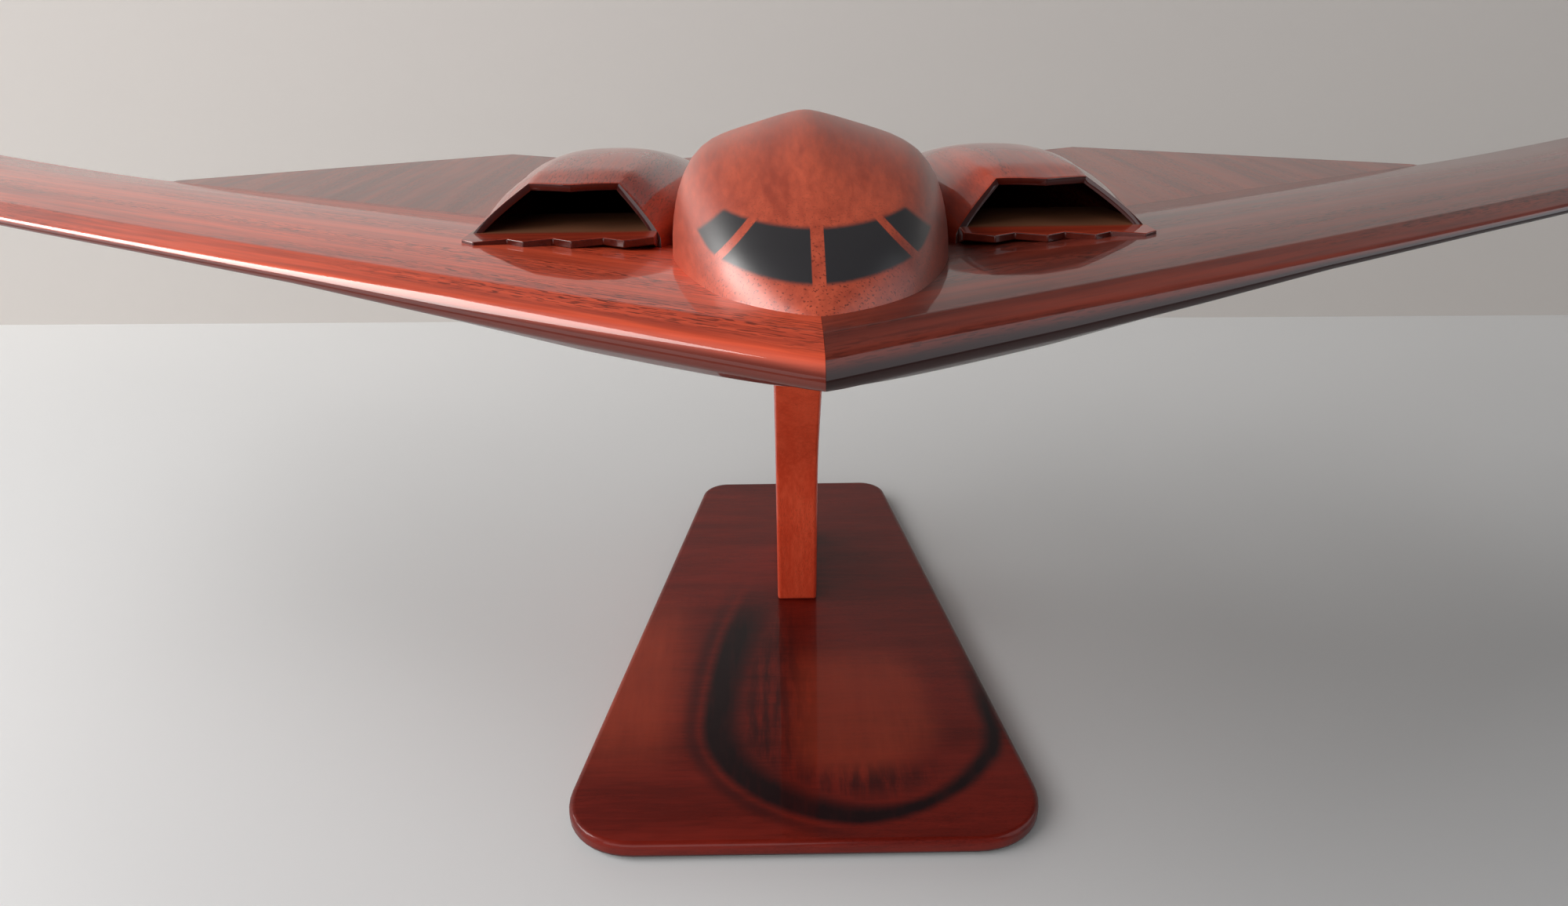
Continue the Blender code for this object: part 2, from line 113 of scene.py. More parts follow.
class LacquerColours(bpy.types.PropertyGroup):
    """Stain, paint and metal colours."""
    # The left plank's colours hold painted light and the right plank's painted shade: one mahogany, lit from
    # the left and in shade on the right.
    left_light: colour("Left plank light", (0.92, 0.120, 0.046), "Light fibres of the left wing plank")
    left_dark: colour("Left plank dark", (0.38, 0.038, 0.015), "Dark fibres of the left wing plank")
    right_light: colour("Right plank light", (0.28, 0.042, 0.022), "Light fibres of the right wing plank")
    right_dark: colour("Right plank dark", (0.09, 0.012, 0.007), "Dark fibres of the right wing plank")
    rear_light: colour("Rear body light", (0.36, 0.062, 0.028), "Light fibres of the rear body")
    rear_dark: colour("Rear body dark", (0.15, 0.022, 0.012), "Dark fibres of the rear body")
    hump_light: colour("Hump light", (0.70, 0.115, 0.050), "Light fibres of the hump")
    hump_dark: colour("Hump dark", (0.36, 0.046, 0.020), "Dark fibres of the hump")
    cowl_light: colour("Cowl light", (0.52, 0.062, 0.024), "Light fibres of the nacelles")
    cowl_dark: colour("Cowl dark", (0.24, 0.022, 0.010), "Dark fibres of the nacelles")
    base_light: colour("Base light", (0.20, 0.014, 0.007), "Light fibres of the base")
    base_dark: colour("Base dark", (0.10, 0.006, 0.003), "Dark fibres of the base")
    base_glow: colour("Base glow", (0.40, 0.050, 0.018), "Warm patches in the base's figure")
    heart: colour("Heartwood", (0.010, 0.002, 0.003), "The near-black figure in the base")
    post_light: colour("Post light", (0.98, 0.13, 0.055), "Light fibres of the post")
    post_dark: colour("Post dark", (0.80, 0.075, 0.028), "Dark fibres of the post")
    raw: colour("Raw wood", (0.25, 0.10, 0.05), "Thinly stained floor inside the intakes")
    pane: colour("Window paint", (0.024, 0.022, 0.024), "Sprayed cockpit windows")
    steel: colour("Steel", (0.56, 0.56, 0.57), "Turned peg")
    zinc: colour("Zinc", (0.60, 0.57, 0.48), "Plated screws")
    felt: colour("Felt", (0.025, 0.06, 0.032), "Pad below the base")


class StageSettings(bpy.types.PropertyGroup):
    """Camera, floor and backdrop."""
    eye: FloatVectorProperty(name="Eye", default=(-0.0036, -0.2445, 0.1719), size=3,
                             subtype='TRANSLATION', description="Camera position")
    turn: FloatProperty(name="Turn", default=math.radians(0.16), subtype='ANGLE',
                        description="Camera heading, to the right of straight aft")
    pitch: FloatProperty(name="Pitch", default=math.radians(26.32), subtype='ANGLE',
                         description="Camera's downward pitch")
    roll: FloatProperty(name="Roll", default=math.radians(-0.72), subtype='ANGLE',
                        description="Camera's roll")
    lens: FloatProperty(name="Lens", default=27.32, description="Focal length in millimetres")
    backdrop_y: length("Backdrop", 0.226, "Backdrop behind the object's centre")
    table: colour("Table", (0.74, 0.73, 0.71), "Pale table top")
    wall: colour("Wall", (0.62, 0.575, 0.535), "Plain backdrop")
    # Painted shade on the backdrop's upper part.
    wall_top_shade: colour("Wall top", (0.10, 0.09, 0.085), "Backdrop above the model")


# ---------------------------------------------------------------- shader expressions

class Wire:
    """A shader output that can be used in ordinary arithmetic."""

    def __init__(self, finish, socket):
        self.finish, self.socket = finish, socket

    def op(self, operation, *others):
        return self.finish.node('ShaderNodeMath', {'operation': operation}, dict(enumerate((self, *others))))

    def __add__(self, other):
        return self.op('ADD', other)

    def __sub__(self, other):
        return self.op('SUBTRACT', other)

    def __rsub__(self, other):
        return self.op('MULTIPLY_ADD', -1.0, other)

    def __mul__(self, other):
        return self.op('MULTIPLY', other)

    def __truediv__(self, other):
        return self.op('DIVIDE', other)

    def __pow__(self, other):
        return self.op('POWER', other)

    __radd__ = __add__
    __rmul__ = __mul__

    def least(self, other):
        return self.op('MINIMUM', other)

    def most(self, other):
        return self.op('MAXIMUM', other)

    def size(self):
        return self.op('ABSOLUTE')

    def rise(self, low, high):
        """0 below low, 1 above high, smooth between."""
        return self.finish.node('ShaderNodeMapRange', {'interpolation_type': 'SMOOTHSTEP'},
                                {'Value': self, 'From Min': low, 'From Max': high})


class Finish:
    """A material under construction: a Principled shader and the nodes that feed it."""

    def __init__(self, name):
        self.material = bpy.data.materials.new(name)
        self.material.use_nodes = True
        self.tree = self.material.node_tree
        self.shader = self.tree.nodes['Principled BSDF']

    def node(self, kind, settings=None, inputs=None, out=0):
        made = self.tree.nodes.new(kind)
        for key, value in (settings or {}).items():
            setattr(made, key, value)
        for key, value in (inputs or {}).items():
            self.feed(made.inputs[key], value)
        return Wire(self, made.outputs[out])

    def feed(self, socket, value):
        if isinstance(value, Wire):
            self.tree.links.new(value.socket, socket)
        elif isinstance(value, (tuple, list)) and len(value) == 3 and socket.type == 'RGBA':
            socket.default_value = (*value, 1.0)
        else:
            socket.default_value = value

    def surface(self, **values):
        for key, value in values.items():
            self.feed(self.shader.inputs[key.replace('_', ' ')], value)

    def mix(self, share, first, second):
        return self.node('ShaderNodeMix', {'data_type': 'RGBA'}, {0: share, 6: first, 7: second}, 2)

    def place(self):
        return self.node('ShaderNodeTexCoord', out='Object')

    def airframe_place(self):
        """Object coordinates in the aircraft's level frame, measured from the peg's seat."""
        return self.node('ShaderNodeMapping', {'vector_type': 'TEXTURE'}, {
            'Vector': self.place(), 'Location': tuple(PEG_SEAT), 'Rotation': (-NOSE_UP, 0.0, 0.0)})

    def turned(self, vector, degrees, stretch=(1.0, 1.0, 1.0)):
        return self.stretched(self.node('ShaderNodeMapping', {'vector_type': 'TEXTURE'}, {
            'Vector': vector, 'Rotation': (0.0, 0.0, math.radians(degrees))}), stretch)

    def stretched(self, vector, stretch):
        return self.node('ShaderNodeVectorMath', {'operation': 'MULTIPLY'}, {0: vector, 1: stretch})

    def noise(self, vector, scale, detail=2.0, roughness=0.5, distortion=0.0):
        return self.node('ShaderNodeTexNoise', None, {
            'Vector': vector, 'Scale': scale, 'Detail': detail, 'Roughness': roughness,
            'Distortion': distortion})

    def axes(self, vector):
        split = self.node('ShaderNodeSeparateXYZ', None, {0: vector})
        return [Wire(self, socket) for socket in split.socket.node.outputs]

    def bump(self, height, strength, distance):
        return self.node('ShaderNodeBump', None, {
            'Height': height, 'Strength': strength, 'Distance': distance})


def lacquered_wood(name, light, dark, place, grain, pores=0.5, end_grain=None, overlay=None, coat=0.8,
                   haze=0.035, depth=1.0, rim=0.0, shade=0.0):
    """Stained mahogany under clear lacquer; grain is the vector whose x runs along the fibres.

    pores, end_grain: strength of the dark dashes along the fibres and of the specks across them.
    overlay: paint or figure on top of the wood. coat, haze: the lacquer and its roughness.
    depth: contrast between light and dark fibres. rim: darker stain on cut faces turned forward.
    shade: faces whose upward lean is below this value are darkened towards a fifth of the dark stain:
    painted shade on the undersides.
    """
    finish = Finish(name)
    coords = place(finish)
    along = grain(finish, coords)
    drift = finish.noise(along, 34.0, 3.0, 0.6, 0.8)
    ribbon = finish.noise(along, 190.0, 3.0, 0.6, 0.4)
    fibre = finish.noise(along, 1300.0, 2.0, 0.6)
    spread = 0.12 / depth
    tone = (drift * 0.40 + ribbon * 0.34 + fibre * 0.26).rise(0.5 - spread, 0.5 + spread)
    wood = finish.mix(tone, tuple(dark), tuple(light))
    short = finish.stretched(along, (2.2, 1.0, 1.0))
    dash = finish.noise(short, 5200.0, 1.0, 0.4).rise(0.55, 0.61)
    patch = finish.noise(along, 160.0, 2.0).rise(0.40, 0.60)
    mark = dash * patch * pores
    if end_grain is not None:
        speck = finish.noise(coords, 3900.0, 1.0, 0.5).rise(0.60, 0.67)
        mark = mark.most(speck * end_grain(finish, coords))
    wood = finish.mix(mark, wood, tuple(0.25 * c for c in dark))
    _, aft, up = finish.axes(finish.node('ShaderNodeNewGeometry', out='Normal'))
    # Painted shade: faces turned downwards are darkened, standing in for the little light the chin and
    # undersides get.
    wood = finish.mix(up.rise(shade, shade - 0.5) * 0.94, wood, tuple(0.2 * c for c in dark))
    wood = finish.mix(aft.rise(-0.42, -0.60) * rim, wood, tuple(0.12 * c for c in dark))
    if overlay is not None:
        wood = overlay(finish, coords, wood)
    ripple = finish.noise(coords, 90.0, 2.0, 0.5)
    finish.surface(
        Base_Color=wood, Roughness=(0.34 + 0.12 * fibre), Coat_Weight=coat, Coat_Roughness=haze,
        Coat_IOR=1.5, Specular_IOR_Level=0.12,
        Normal=finish.bump(ripple * 0.7 + mark * -0.02, 0.25, 0.0004))
    return finish.material


def level_grain(degrees, stretch=0.045):
    """Fibres at an angle to the span, in the level plane."""
    return lambda finish, coords: finish.turned(coords, degrees, (stretch, 1.0, 1.0))


# ---------------------------------------------------------------- airframe surfaces, in millimetres

def through(value, knots):
    """Straight lines through (position, value) knots."""
    for (a, fa), (b, fb) in zip(knots, knots[1:]):
        if value <= b:
            return fa + (fb - fa) * max(0.0, value - a) / (b - a)
    return knots[-1][1]


def smooth_through(value, knots):
    """A smooth curve through (position, value) knots, with no overshoot."""
    value = min(max(value, knots[0][0]), knots[-1][0])
    slopes = [(q[1] - p[1]) / (q[0] - p[0]) for p, q in zip(knots, knots[1:])]
    for i, ((a, fa), (b, fb)) in enumerate(zip(knots, knots[1:])):
        if value <= b:
            s0 = slopes[i]
            before = slopes[i - 1] if i else s0
            after = slopes[i + 1] if i + 1 < len(slopes) else s0
            m0 = 0.0 if before * s0 <= 0 and i else 2 * before * s0 / (before + s0) if before + s0 else 0.0
            m1 = 0.0 if after * s0 <= 0 and i + 1 < len(slopes) else (
                2 * after * s0 / (after + s0) if after + s0 else 0.0)
            t = (value - a) / (b - a)
            return ((2 * t ** 3 - 3 * t * t + 1) * fa + (t ** 3 - 2 * t * t + t) * (b - a) * m0
                    + (3 * t * t - 2 * t ** 3) * fb + (t ** 3 - t * t) * (b - a) * m1)
    return knots[-1][1]


class Airframe:
    """The carved surfaces, from the sizes in the panel.

    y runs aft from the nose and z up; x runs to the right as seen from in front of the nose.
    """

    CAMBER = ((5.5, 1.28), (12, 1.75), (20, 2.1), (30, 2.1), (40, 1.8), (52, 1.0), (65.5, 0.0))
    CHIN_SHARE = 0.069  # share of the chord taken by the blunt leading edge
    CHIN_BACK = 3.5  # how far the chin stands behind the nose

    def __init__(self, sizes):
        self.span = sizes.half_span / MM
        self.slope = math.tan(sizes.sweep)
        self.plank = sizes.plank / MM
        self.notch = sizes.notch / MM
        self.aft = sizes.aft_point / MM
        self.inner = sizes.inner_notch / MM
        self.rise = sizes.tip_rise / MM
        self.deck = -sizes.deck_drop / MM
        self.belly = -sizes.belly / MM
        self.crest = sizes.hump_crest / MM
        self.hump = sizes.hump_half / MM
        self.mouth_x = sizes.mouth_x / MM
        self.mouth_half = sizes.mouth_half / MM
        self.wall = sizes.wall
        seat = Vector((0.0, sizes.seat_y, -sizes.belly))
        self.world = (Matrix.Translation(PEG_SEAT) @ Matrix.Rotation(-NOSE_UP, 4, 'X')
                      @ Matrix.Translation(-seat))

    def at(self, x, y, z):
        return self.world @ (Vector((x, y, z)) * MM)

    def lead(self, x):
        return self.slope * abs(x)

    def tip_corner(self):
        return self.span - self.plank / (2 * self.slope)

    def chord(self, x):
        return min(self.plank, 2 * self.slope * (self.span - abs(x)))

    def tail(self, x):
        """The saw-toothed rear edge between the outer notches."""
        x = abs(x)
        notch_y = self.plank + self.slope * self.notch
        aft_y = notch_y + self.slope * (self.notch - self.aft)
        if x >= self.aft:
            return notch_y + self.slope * (self.notch - x)
        if x >= self.inner:
            return aft_y - self.slope * (self.aft - x)
        return aft_y - self.slope * (self.aft - self.inner) + self.slope * (self.inner - x)

    def lead_z(self, x):
        return self.rise * (x / self.span) ** 2

    def trail_z(self, x):
        x = abs(x)
        if x <= self.notch:
            return self.deck
        return self.deck + self.rise * ((x - self.notch) / (self.span - self.notch)) ** 1.5

    def rounded_off(self, distance, radius):
        """Drop of a rounded corner at a distance from its edge."""
        inside = max(0.0, radius - distance)
        return radius - math.sqrt(radius * radius - inside * inside)

    def top(self, x, c, ratio=1.0):
        """Upper face at c behind the leading edge."""
        line = self.lead_z(x) + (self.trail_z(x) - self.lead_z(x)) * c / self.plank
        spot = c / ratio * 65.5 / self.plank
        bulge = spot * 1.28 / 5.5 if spot < 5.5 else smooth_through(spot, self.CAMBER)
        return line + bulge * ratio * through(abs(x), ((120, 1.0), (262, 0.75)))

    def surface(self, x, y):
        """Upper face of planks and rear deck."""
        c = y - self.lead(x)
        return self.top(x, max(c, 0.0)) if c < self.plank else self.deck

    def bevel(self, x, ratio):
        """Height of the blunt leading edge."""
        return through(abs(x), ((0, 4.5), (22, 4.1), (38, 3.3), (55, 2.2), (80, 1.8), (262, 1.5))) * ratio

    def keel(self, x):
        return through(abs(x), ((15, self.belly), (34, -10.2), (62, -7.6), (120, self.deck - 1.0)))

    def under(self, x, share, ratio):
        """Lower face of a plank at a share of its chord."""
        front = self.lead_z(x)
        bevel = self.bevel(x, ratio)
        rear = self.keel(x) if abs(x) < self.notch else self.trail_z(x) - max(ratio, 0.3)
        belly = through(abs(x), ((15, -10.6), (34, -8.8), (62, -6.2), (120, -4.2), (262, 2.6)))
        low = front - bevel
        if abs(x) < self.notch:
            mid, late = 0.62 * low + 0.38 * min(belly, rear), rear + 0.35 * (belly - rear)
        else:
            mid, late = 0.8 * low + 0.2 * rear - 0.5, 0.4 * low + 0.6 * rear - 0.4
        knots = ((0.0, front - 0.58 * bevel), (0.03, front - 0.62 * bevel),
                 (self.CHIN_SHARE, low), (0.244, mid), (0.64, late), (1.0, rear))
        return smooth_through(share, knots)

    def hump_width(self, y):
        if y < 50:
            return self.hump * math.sqrt(max(0.0, 1 - min(1.0, (50 - y) / 40) ** 1.65))
        return smooth_through(y, ((50, self.hump), (80, self.hump), (105, 14.8), (130, 11.5),
                                  (150, 7.2), (166, 3.0)))

    def hump_crest(self, y):
        if y < 58:
            return 0.5 + (self.crest - 0.5) * (1 - ((58 - y) / 48) ** 2.2)
        return self.crest - 0.0151 * (y - 58) ** 1.508

    def hump_spot(self, y, s):
        """Hump surface at signed share s of the half width."""
        width, crest, t = self.hump_width(y), self.hump_crest(y), abs(s)
        sharp = through(y, ((10, 3.0), (30, 6.0), (60, 12.0), (110, 8.0), (166, 4.0)))
        gable = through(y, ((10, 0.10), (30, 0.22), (60, 0.36), (166, 0.36)))
        ridge = 1 - gable * (math.sqrt(t * t + 0.01) - 0.1)
        level = min(0.0, crest - 6.0)
        return s * width, level + (crest - level) * ridge * math.sqrt(max(0.0, 1 - t ** sharp))

    def nacelle_spot(self, y, s):
        """Outer cowl surface: x from the centre line, shifted y, z."""
        inner = smooth_through(y, ((52, self.mouth_half), (66, 11.6), (90, 12.2), (120, 11.0), (152, 8.0)))
        outer = smooth_through(y, ((52, self.mouth_half + 2.2), (66, 13.6), (90, 13.4), (120, 11.4),
                                   (152, 8.0)))
        centre = smooth_through(y, ((52, self.mouth_x), (70, 27.0), (110, 27.0), (152, 28.0)))
        crown = smooth_through(y, ((52, 6.8), (62, 7.6), (72, 7.8), (84, 7.4), (100, 5.6), (125, 1.0),
                                   (152, -3.4)))
        roundness = through(y, ((52, 0.3), (64, 0.7), (80, 1.0), (152, 1.0)))
        t, half, corner = abs(s), (outer if s > 0 else inner), (0.43 if s > 0 else 0.52)
        straight = min(1.0, (1 - t) / (1 - corner))
        curved = max(0.0, 1 - t ** 2.6) ** 0.6
        arch = (1 - roundness) * straight + roundness * curved
        low = min(0.4, crown - 4.0)
        saw = 2.6 * (1 - abs(t - corner) / (corner if t < corner else 1 - corner))
        return centre + s * half, y + through(y, ((52, 1.0), (62, 0.0))) * saw, low + (crown - low) * arch


# ---------------------------------------------------------------- mesh helpers

def finished(bm, name, body, node, material, sharp=28.0):
    """Turns a bmesh into a piece that rides on its body and stands for its CAD node."""
    bm.verts.sort(key=lambda vert: vert.co.dot(SKEW))
    bm.edges.sort(key=lambda edge: (edge.verts[0].co + edge.verts[1].co).dot(SKEW))
    bm.faces.sort(key=lambda face: face.calc_center_median().dot(SKEW))
    bmesh.ops.remove_doubles(bm, verts=bm.verts, dist=2e-6)
    bmesh.ops.recalc_face_normals(bm, faces=bm.faces)
    mesh = bpy.data.meshes.new(name)
    bm.to_mesh(mesh)
    bm.free()
    mesh.shade_smooth()
    mesh.set_sharp_from_angle(angle=math.radians(sharp))
    mesh.materials.append(material)
    piece = bpy.data.objects.new(name, mesh)
    bpy.context.scene.collection.objects.link(piece)
    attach(piece, body)
    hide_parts(node)
    return piece


def grid(along, across, shape):
    """A sheet of along by across cells; shape(i, j) places each crossing."""
    bm = bmesh.new()
    bmesh.ops.create_grid(bm, x_segments=along, y_segments=across, size=0.5)
    for vert in bm.verts:
        vert.co = shape(round((vert.co.x + 0.5) * along), round((vert.co.y + 0.5) * across))
    return bm


def slab(along, across, shape):
    """A closed slab of cells; shape(i, j, upper) places each crossing on either face."""
    bm = bmesh.new()
    bmesh.ops.create_grid(bm, x_segments=along, y_segments=across, size=0.5)
    made = bmesh.ops.extrude_face_region(bm, geom=bm.faces[:])
    upper = {v for v in made['geom'] if isinstance(v, bmesh.types.BMVert)}
    for vert in bm.verts:
        vert.co = shape(round((vert.co.x + 0.5) * along), round((vert.co.y + 0.5) * across), vert in upper)
    return bm


def soften(piece, width, degrees=40.0, segments=3):
    mod = piece.modifiers.new("soft edges", 'BEVEL')
    mod.width = width
    mod.segments = segments
    mod.limit_method = 'ANGLE'
    mod.angle_limit = math.radians(degrees)
    mod.use_clamp_overlap = True


def spaced(*runs):
    """Stations made of (start, end, count) runs, ends included once."""
    out = []
    for start, end, count in runs:
        steps = [start + (end - start) * k / count for k in range(count + 1)]
        out += steps if not out else steps[1:]
    return out


# ---------------------------------------------------------------- operators

class DESK_OT_wings(bpy.types.Operator):
    """Two mitred planks with the grain along each leading edge"""
    bl_idname = "desk.wings"
    bl_label = "Wing planks"

    def execute(self, context):
        shape = Airframe(context.scene.airframe_sizes)
        tints = context.scene.lacquer_colours
        corner = shape.tip_corner()
        xs = spaced((0.01, 60, 40), (60, shape.notch, 24), (shape.notch, corner, 24),
                    (corner, shape.span - 1.2, 14))
        shares = [0.0, 0.0006, 0.0018, 0.0035, 0.006, 0.01, 0.015, 0.02, 0.026, 0.034, 0.05, 0.069, 0.08,
                  0.084, 0.09, 0.11, 0.14, 0.18, 0.24, 0.3, 0.37, 0.45, 0.53, 0.61, 0.69, 0.77, 0.85, 0.92,
                  0.97, 0.995, 1.0]
        for name, sign in (("left", -1), ("right", 1)):
            def spot(i, j, upper):
                x, share = xs[i], shares[j]
                chord = shape.chord(x)
                ratio = chord / shape.plank
                radius = shape.bevel(x, ratio) * (0.42 if upper else 0.16)
                drop = shape.rounded_off(share * chord, radius)
                if x > shape.notch:
                    drop += shape.rounded_off((1 - share) * chord, 0.3 * ratio)
                z = (shape.top(x, share * chord, ratio) - drop if upper
                     else shape.under(x, share, ratio) + drop)
                set_back = 0.0 if upper else min(1.0, share / shape.CHIN_SHARE) * shape.CHIN_BACK
                front = math.hypot(shape.lead(x), set_back)
                y = front + share * (chord + shape.lead(x) - front)
                return shape.at(sign * x, y, z)
            # Painted light on the left plank and painted shade on the right one through their separate
            # tints; shade=0.86 adds painted shade on the chin and undersides.
            wood = lacquered_wood(
                "wing_lacquer_" + name, getattr(tints, name + "_light"), getattr(tints, name + "_dark"),
                Finish.airframe_place, level_grain(sign * 33.0), 0.85, coat=0.62, depth=0.9, shade=0.86)
            finished(slab(len(xs) - 1, len(shares) - 1, spot), "wing_plank_" + name, "aircraft",
                     "wing_" + name, wood, 35.0)
        return {'FINISHED'}


class DESK_OT_rear_body(bpy.types.Operator):
    """The darker saw-toothed piece behind the planks, with the belly's flat seat"""
    bl_idname = "desk.rear_body"
    bl_label = "Rear body"

    def execute(self, context):
        shape = Airframe(context.scene.airframe_sizes)
        tints = context.scene.lacquer_colours
        half = spaced((0, 15, 6), (15, shape.inner, 6), (shape.inner, shape.aft, 8), (shape.aft, 119, 16))
        xs = [-x for x in reversed(half[1:])] + half
        shares = spaced((0, 1, 24))

        def spot(i, j, upper):
            x, share = xs[i], shares[j]
            front, rear = shape.plank + shape.lead(x) - 1.5 * min(1.0, (119.2 - abs(x)) / 4), shape.tail(x)
            y = front + (rear - front) * share
            if upper:
                return shape.at(x, y, shape.deck)
            keel, edge = shape.keel(x), shape.deck - 1.0
            flat_end = max(front + 0.3 * (rear - front), min(130.0, rear - 0.35 * (rear - front)))
            z = keel
            if y > flat_end:
                z = smooth_through(y, ((flat_end, keel), (flat_end + 0.55 * (rear - flat_end),
                                                          edge + 0.55 * (keel - edge)), (rear, edge)))
            return shape.at(x, y, z)

        bm = slab(len(xs) - 1, len(shares) - 1, spot)
        wood = lacquered_wood("rear_body_lacquer", tints.rear_light, tints.rear_dark,
                              Finish.airframe_place, level_grain(90.0), 0.5, coat=0.6)
        piece = finished(bm, "rear_deck", "aircraft", "rear_body", wood, 35.0)
        soften(piece, 0.25 * MM)
        return {'FINISHED'}


def window_paint(tints, seat):
    """Four sprayed panes: crisp along the posts between them, misty round the outside."""
    def overlay(finish, coords, wood):
        x, y, z = finish.axes(coords)
        side = x.size() / MM
        height = (z + seat.z) / MM
        square = side * side
        mist = 0.22
        band = (height - (3.0 + 0.0125 * square)).rise(-mist, mist) * (
            (6.75 + 0.0105 * square) - height).rise(-mist, mist)
        shoulder = ((side - 9.0) * 0.62 + (height - 7.5) * 0.785).rise(-mist, mist)
        corner = ((side - 10.0) * 0.60 - (height - 4.15) * 0.80).rise(-mist, mist)
        front = ((y + seat.y) / MM).rise(31.0, 30.0)
        centre_post = side.rise(0.58, 0.66)
        slant = ((side - 6.1) * 0.69 + (height - 7.1) * 0.72).size()
        side_post = slant.rise(0.27, 0.35)
        paint = band * (1 - shoulder) * (1 - corner) * front * centre_post * side_post
        return finish.mix(paint, wood, tuple(tints.pane))
    return overlay


class DESK_OT_hump(bpy.types.Operator):
    """The carved cockpit hump with its sprayed windows"""
    bl_idname = "desk.hump"
    bl_label = "Cockpit hump"

    def execute(self, context):
        sizes = context.scene.airframe_sizes
        shape = Airframe(sizes)
        tints = context.scene.lacquer_colours
        ys = spaced((10.3, 16, 12), (16, 34, 24), (34, 70, 24), (70, 166, 34))
        shares = [1.0, 0.995, 0.985, 0.97, 0.95, 0.92, 0.88, 0.83, 0.77, 0.7, 0.62, 0.53, 0.44, 0.35, 0.26,
                  0.18, 0.11, 0.05, 0.0]
        around = [None] + shares + [-s for s in reversed(shares[:-1])] + [None, None]

        def spot(i, j):
            y, s = ys[i], around[j]
            if s is None:
                x = shape.hump_width(y) * (1 if j in (0, len(around) - 1) else -1)
                return shape.at(x, y, shape.surface(x, y) - 0.7)
            x, z = shape.hump_spot(y, s)
            return shape.at(x, y, max(z, shape.surface(x, y) - 0.5))

        bm = grid(len(ys) - 1, len(around) - 1, spot)
        bmesh.ops.remove_doubles(bm, verts=bm.verts, dist=2e-6)
        bmesh.ops.holes_fill(bm, edges=[e for e in bm.edges if e.is_boundary], sides=0)

        def speckled(finish, coords):
            y = finish.axes(coords)[1]
            return (y / MM).rise(36.0 - sizes.seat_y / MM, 12.0 - sizes.seat_y / MM) * 0.75

        seat = Vector((0.0, sizes.seat_y, -sizes.belly))
        wood = lacquered_wood("hump_lacquer", tints.hump_light, tints.hump_dark, Finish.airframe_place,
                              level_grain(90.0, 0.09), 0.08, speckled, window_paint(tints, seat),
                              0.95, 0.40, 0.7)
        finished(bm, "hump", "aircraft", "cockpit_hump", wood, 50.0)
        return {'FINISHED'}


class DESK_OT_nacelles(bpy.types.Operator):
    """Two hollow cowls with a W-shaped front edge"""
    bl_idname = "desk.nacelles"
    bl_label = "Nacelles"

    def execute(self, context):
        shape = Airframe(context.scene.airframe_sizes)
        tints = context.scene.lacquer_colours
        ys = spaced((52, 62, 12), (62, 100, 24), (100, 152, 22))
        shares = [1.0, 0.97, 0.93, 0.88, 0.82, 0.76, 0.7, 0.64, 0.58, 0.52, 0.46, 0.43, 0.38, 0.28, 0.18,
                  0.09, 0.0]
        around = [None] + shares + [-s for s in reversed(shares[:-1])] + [None]
        wood = lacquered_wood("nacelle_lacquer", tints.cowl_light, tints.cowl_dark, Finish.airframe_place,
                              level_grain(90.0), 0.6, rim=0.95)
        for name, sign in (("left", -1), ("right", 1)):
            def spot(i, j):
                s = around[j]
                if s is None:
                    x, y, _ = shape.nacelle_spot(ys[i], 1.0 if j == 0 else -1.0)
                    return shape.at(sign * x, y, shape.surface(x, y) - 0.8)
                x, y, z = shape.nacelle_spot(ys[i], s)
                return shape.at(sign * x, y, max(z, shape.surface(x, y) - 0.6))
            bm = grid(len(ys) - 1, len(around) - 1, spot)
            bmesh.ops.remove_doubles(bm, verts=bm.verts, dist=2e-6)
            bmesh.ops.recalc_face_normals(bm, faces=bm.faces)
            piece = finished(bm, "cowl_" + name, "aircraft", "nacelle_" + name, wood,
                             30.0)
            wall = piece.modifiers.new("wall", 'SOLIDIFY')
            wall.thickness = shape.wall
            wall.offset = -1.0
            wall.use_even_offset = True
            soften(piece, 0.12 * MM, 50.0, 2)
        return {'FINISHED'}


class DESK_OT_lips(bpy.types.Operator):
    """Serrated plates across the floor of the intake mouths"""
    bl_idname = "desk.lips"
    bl_label = "Intake lips"

    def execute(self, context):
        sizes = context.scene.airframe_sizes
        shape = Airframe(sizes)
        tints = context.scene.lacquer_colours

        def raw_floor(finish, coords, wood):
            inside = (finish.axes(coords)[1] / MM).rise(51.0 - sizes.seat_y / MM, 53.0 - sizes.seat_y / MM)
            return finish.mix(inside, wood, tuple(tints.raw))

        wood = lacquered_wood("lip_lacquer", tints.cowl_light, tints.cowl_dark, Finish.airframe_place,
                              level_grain(0.0), 0.5, None, raw_floor, rim=0.85)
        teeth = (40.2, 38.4, 34.9, 32.7, 29.6, 27.2, 23.8, 21.2, 17.9)
        rim = [(x, 46.4 if i % 2 else 48.4) for i, x in enumerate(teeth)]
        rim += [(17.9, 54.0), (19.2, 66.0), (38.6, 66.0), (40.2, 54.0)]
        for name, sign in (("left", -1), ("right", 1)):
            bm = bmesh.new()
            face = bm.faces.new([bm.verts.new((sign * x, y, 1.3)) for x, y in rim])
            made = bmesh.ops.extrude_face_region(bm, geom=[face])
            for vert in (v for v in made['geom'] if isinstance(v, bmesh.types.BMVert)):
                vert.co.z = 0.4 if vert.co.y < 50 else min(0.4, shape.surface(vert.co.x, vert.co.y) - 0.2)
            for vert in bm.verts:
                vert.co = shape.at(*vert.co)
            piece = finished(bm, "lip_" + name, "aircraft", "intake_lip_" + name, wood, 20.0)
            soften(piece, 0.12 * MM, 30.0, 2)
        return {'FINISHED'}


